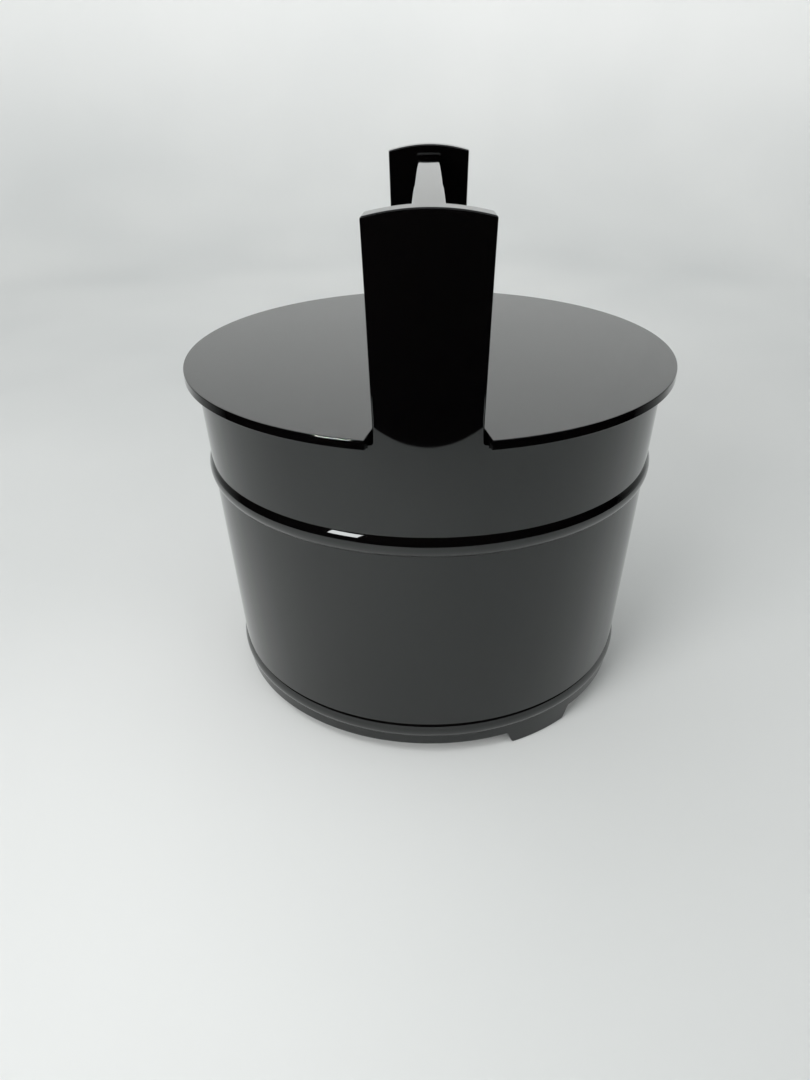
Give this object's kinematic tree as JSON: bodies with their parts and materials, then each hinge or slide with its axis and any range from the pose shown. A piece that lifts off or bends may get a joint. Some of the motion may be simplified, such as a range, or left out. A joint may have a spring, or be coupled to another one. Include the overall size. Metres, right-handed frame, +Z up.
{
  "type": "handled water bucket",
  "caption": "Round coopered bucket in black lacquer with two tall handle posts, a crossbar, two hoops, low feet and a flat lid split in two halves.",
  "frame": {"origin": "on the floor under the centre of the tub, the lowest point of the feet at z = 0", "axes": "+Z up along the tub's axis; X along the handle bar; -Y is the front, where the middle foot is"},
  "size_m": [0.2444, 0.245, 0.2625],
  "materials": {
    "black_lacquer": "mirror-gloss black lacquer over wood",
    "bamboo": "plain split bamboo"
  },
  "bodies": {
    "bucket": {"handle_stave_right": "black_lacquer", "foot_stave_right": "black_lacquer", "stave_rear_1": "black_lacquer", "stave_rear_2": "black_lacquer", "stave_rear_3": "black_lacquer", "stave_rear_4": "black_lacquer", "foot_stave_left": "black_lacquer", "handle_stave_left": "black_lacquer", "stave_left_1": "black_lacquer", "stave_left_2": "black_lacquer", "stave_left_3": "black_lacquer", "foot_stave_front": "black_lacquer", "stave_right_1": "black_lacquer", "stave_right_2": "black_lacquer", "stave_right_3": "black_lacquer", "stave_dowels": "bamboo", "upper_hoop": "black_lacquer", "lower_hoop": "black_lacquer", "bottom_board_front": "black_lacquer", "bottom_board_middle": "black_lacquer", "bottom_board_rear": "black_lacquer", "bottom_dowels": "bamboo", "handle_bar": "black_lacquer"},
    "lid_front_half": {"lid_front": "black_lacquer", "lid_front_batten_left": "black_lacquer", "lid_front_batten_right": "black_lacquer", "lid_front_pins": "bamboo"},
    "lid_rear_half": {"lid_rear": "black_lacquer", "lid_rear_batten_left": "black_lacquer", "lid_rear_batten_right": "black_lacquer", "lid_rear_pins": "bamboo"}
  },
  "joints": [
    {"name": "lid_front_lift", "type": "slide", "parent": "bucket", "child": "lid_front_half", "axis": [0, -0.5, 0.866], "range_m": [0, 0.16]},
    {"name": "lid_rear_lift", "type": "slide", "parent": "bucket", "child": "lid_rear_half", "axis": [0, 0.5, 0.866], "range_m": [0, 0.16]}
  ]
}
